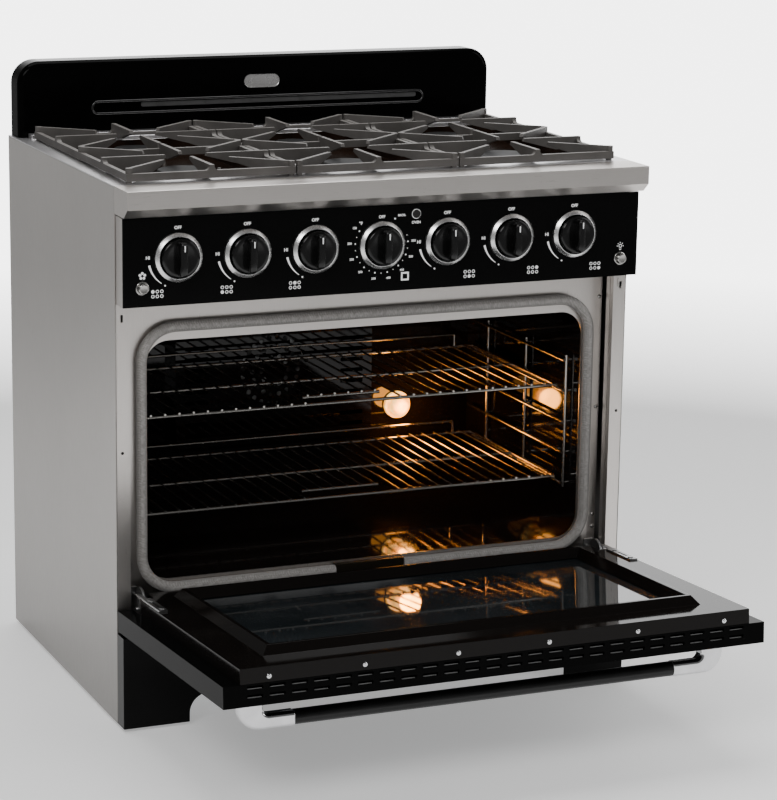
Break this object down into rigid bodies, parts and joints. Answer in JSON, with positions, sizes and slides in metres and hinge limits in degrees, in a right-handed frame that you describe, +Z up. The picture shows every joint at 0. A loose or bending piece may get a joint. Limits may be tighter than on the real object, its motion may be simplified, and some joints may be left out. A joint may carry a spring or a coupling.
{
  "type": "freestanding gas range",
  "caption": "Freestanding gas range with its drop-down oven door lying open: sheet-steel cabinet, cast grates over burners, control panel with knobs, wire racks and a rear splash-back.",
  "frame": {"origin": "on the floor, midway between the two sides and midway between the cabinet's back plane and the tip of the open oven door", "axes": "+Z up from the floor; +X to the right seen from the front; +Y towards the back, so that the door opens towards -Y"},
  "size_m": [0.912, 1.109, 1.026],
  "materials": {
    "stainless": "brushed stainless steel",
    "galvanised": "dull galvanised sheet",
    "chassis_steel": "dull pressed steel",
    "black_enamel": "glossy black enamel",
    "black_paint": "satin black paint",
    "oven_enamel": "glossy dark speckled enamel",
    "well_enamel": "glossy dark brown enamel",
    "cast_iron": "matt enamelled cast iron",
    "burner_metal": "cast aluminium",
    "chrome": "bright chrome",
    "knob_plastic": "glossy black",
    "button_plastic": "satin silver grey",
    "indicator": "smoked lens",
    "steel_shaft": "turned steel",
    "gasket": "woven glass-fibre braid",
    "rack_wire": "bright nickel plate",
    "glass": "tinted heat-proof glass",
    "lamp_glass": "ribbed lamp glass"
  },
  "bodies": {
    "cabinet": {"side_panel_left": "stainless", "side_panel_right": "stainless", "cooktop_deck": "stainless", "front_bullnose": "stainless", "front_posts": "stainless", "oven_front_frame": "stainless", "control_box": "stainless", "back_panel": "galvanised", "base_pan": "galvanised", "levelling_feet": "chassis_steel", "fan_motor": "chassis_steel", "hinge_receivers": "chassis_steel", "backguard": "black_enamel", "control_fascia": "black_enamel", "kick_panel": "black_enamel", "gasket_clip": "black_paint", "liner_top": "oven_enamel", "liner_bottom": "oven_enamel", "liner_sides": "oven_enamel", "liner_back": "oven_enamel", "fan_cover": "oven_enamel", "burner_pans": "well_enamel", "burner_caps": "cast_iron", "broil_burner": "cast_iron", "burner_bases": "burner_metal", "gas_manifold": "burner_metal", "knob_bezels": "chrome", "badge": "chrome", "oven_indicator": "indicator", "oven_gasket": "gasket", "rack_supports": "rack_wire", "oven_lamp": "lamp_glass"},
    "door": {"door_shell": "black_enamel", "door_inner_pan": "oven_enamel", "door_glass": "glass", "door_screws": "chrome", "handle_bar": "black_paint", "handle_brackets": "chrome", "hinge_arms": "chassis_steel"},
    "rack_upper": {"rack_upper": "rack_wire"},
    "rack_lower": {"rack_lower": "rack_wire"},
    "fan": {"convection_fan": "chassis_steel"},
    "fan_button": {"fan_button": "button_plastic"},
    "light_button": {"light_button": "button_plastic"},
    "grate_left": {"grate_left": "cast_iron"},
    "grate_centre": {"grate_centre": "cast_iron"},
    "grate_right": {"grate_right": "cast_iron"},
    "knob_1": {"knob_1": "knob_plastic"},
    "valve_stem_1": {"valve_stem_1": "steel_shaft"},
    "knob_2": {"knob_2": "knob_plastic"},
    "valve_stem_2": {"valve_stem_2": "steel_shaft"},
    "knob_3": {"knob_3": "knob_plastic"},
    "valve_stem_3": {"valve_stem_3": "steel_shaft"},
    "knob_4": {"knob_4": "knob_plastic"},
    "knob_5": {"knob_5": "knob_plastic"},
    "valve_stem_5": {"valve_stem_5": "steel_shaft"},
    "knob_6": {"knob_6": "knob_plastic"},
    "valve_stem_6": {"valve_stem_6": "steel_shaft"},
    "knob_7": {"knob_7": "knob_plastic"},
    "valve_stem_7": {"valve_stem_7": "steel_shaft"}
  },
  "joints": [
    {"name": "door_hinge", "type": "hinge", "parent": "cabinet", "child": "door", "pos_m": [0, -0.05298, 0.1989], "axis": [-1, 0, 0], "range_deg": [0, 86.5]},
    {"name": "rack_upper_slide", "type": "slide", "parent": "cabinet", "child": "rack_upper", "axis": [0, 1, 0], "range_m": [-0.3, 0]},
    {"name": "rack_lower_slide", "type": "slide", "parent": "cabinet", "child": "rack_lower", "axis": [0, 1, 0], "range_m": [-0.3, 0]},
    {"name": "grate_left_lift", "type": "slide", "parent": "cabinet", "child": "grate_left", "axis": [0, 0, 1], "range_m": [0, 0.2]},
    {"name": "grate_centre_lift", "type": "slide", "parent": "cabinet", "child": "grate_centre", "axis": [0, 0, 1], "range_m": [0, 0.2]},
    {"name": "grate_right_lift", "type": "slide", "parent": "cabinet", "child": "grate_right", "axis": [0, 0, 1], "range_m": [0, 0.2]},
    {"name": "valve_stem_1_push", "type": "slide", "parent": "cabinet", "child": "valve_stem_1", "axis": [0, 1, 0], "range_m": [0, 0.003], "stiffness_N_per_m": 1500, "springref_m": -0.002},
    {"name": "knob_1_turn", "type": "hinge", "parent": "valve_stem_1", "child": "knob_1", "pos_m": [-0.3629, -0.09548, 0.782], "axis": [0, -1, 0], "range_deg": [0, 160]},
    {"name": "valve_stem_2_push", "type": "slide", "parent": "cabinet", "child": "valve_stem_2", "axis": [0, 1, 0], "range_m": [0, 0.003], "stiffness_N_per_m": 1500, "springref_m": -0.002},
    {"name": "knob_2_turn", "type": "hinge", "parent": "valve_stem_2", "child": "knob_2", "pos_m": [-0.2468, -0.09548, 0.782], "axis": [0, -1, 0], "range_deg": [0, 160]},
    {"name": "valve_stem_3_push", "type": "slide", "parent": "cabinet", "child": "valve_stem_3", "axis": [0, 1, 0], "range_m": [0, 0.003], "stiffness_N_per_m": 1500, "springref_m": -0.002},
    {"name": "knob_3_turn", "type": "hinge", "parent": "valve_stem_3", "child": "knob_3", "pos_m": [-0.1307, -0.09548, 0.782], "axis": [0, -1, 0], "range_deg": [0, 160]},
    {"name": "knob_4_turn", "type": "hinge", "parent": "cabinet", "child": "knob_4", "pos_m": [-0.0146, -0.09548, 0.782], "axis": [0, -1, 0], "range_deg": [0, 290]},
    {"name": "valve_stem_5_push", "type": "slide", "parent": "cabinet", "child": "valve_stem_5", "axis": [0, 1, 0], "range_m": [0, 0.003], "stiffness_N_per_m": 1500, "springref_m": -0.002},
    {"name": "knob_5_turn", "type": "hinge", "parent": "valve_stem_5", "child": "knob_5", "pos_m": [0.1015, -0.09548, 0.782], "axis": [0, -1, 0], "range_deg": [0, 160]},
    {"name": "valve_stem_6_push", "type": "slide", "parent": "cabinet", "child": "valve_stem_6", "axis": [0, 1, 0], "range_m": [0, 0.003], "stiffness_N_per_m": 1500, "springref_m": -0.002},
    {"name": "knob_6_turn", "type": "hinge", "parent": "valve_stem_6", "child": "knob_6", "pos_m": [0.2176, -0.09548, 0.782], "axis": [0, -1, 0], "range_deg": [0, 160]},
    {"name": "valve_stem_7_push", "type": "slide", "parent": "cabinet", "child": "valve_stem_7", "axis": [0, 1, 0], "range_m": [0, 0.003], "stiffness_N_per_m": 1500, "springref_m": -0.002},
    {"name": "knob_7_turn", "type": "hinge", "parent": "valve_stem_7", "child": "knob_7", "pos_m": [0.3337, -0.09548, 0.782], "axis": [0, -1, 0], "range_deg": [0, 160]},
    {"name": "fan_button_press", "type": "slide", "parent": "cabinet", "child": "fan_button", "axis": [0, 1, 0], "range_m": [0, 0.003], "stiffness_N_per_m": 800, "springref_m": -0.001},
    {"name": "light_button_press", "type": "slide", "parent": "cabinet", "child": "light_button", "axis": [0, 1, 0], "range_m": [0, 0.003], "stiffness_N_per_m": 800, "springref_m": -0.001},
    {"name": "fan_spin", "type": "hinge", "parent": "cabinet", "child": "fan", "pos_m": [0, 0.45452, 0.463], "axis": [0, -1, 0], "continuous": true}
  ]
}
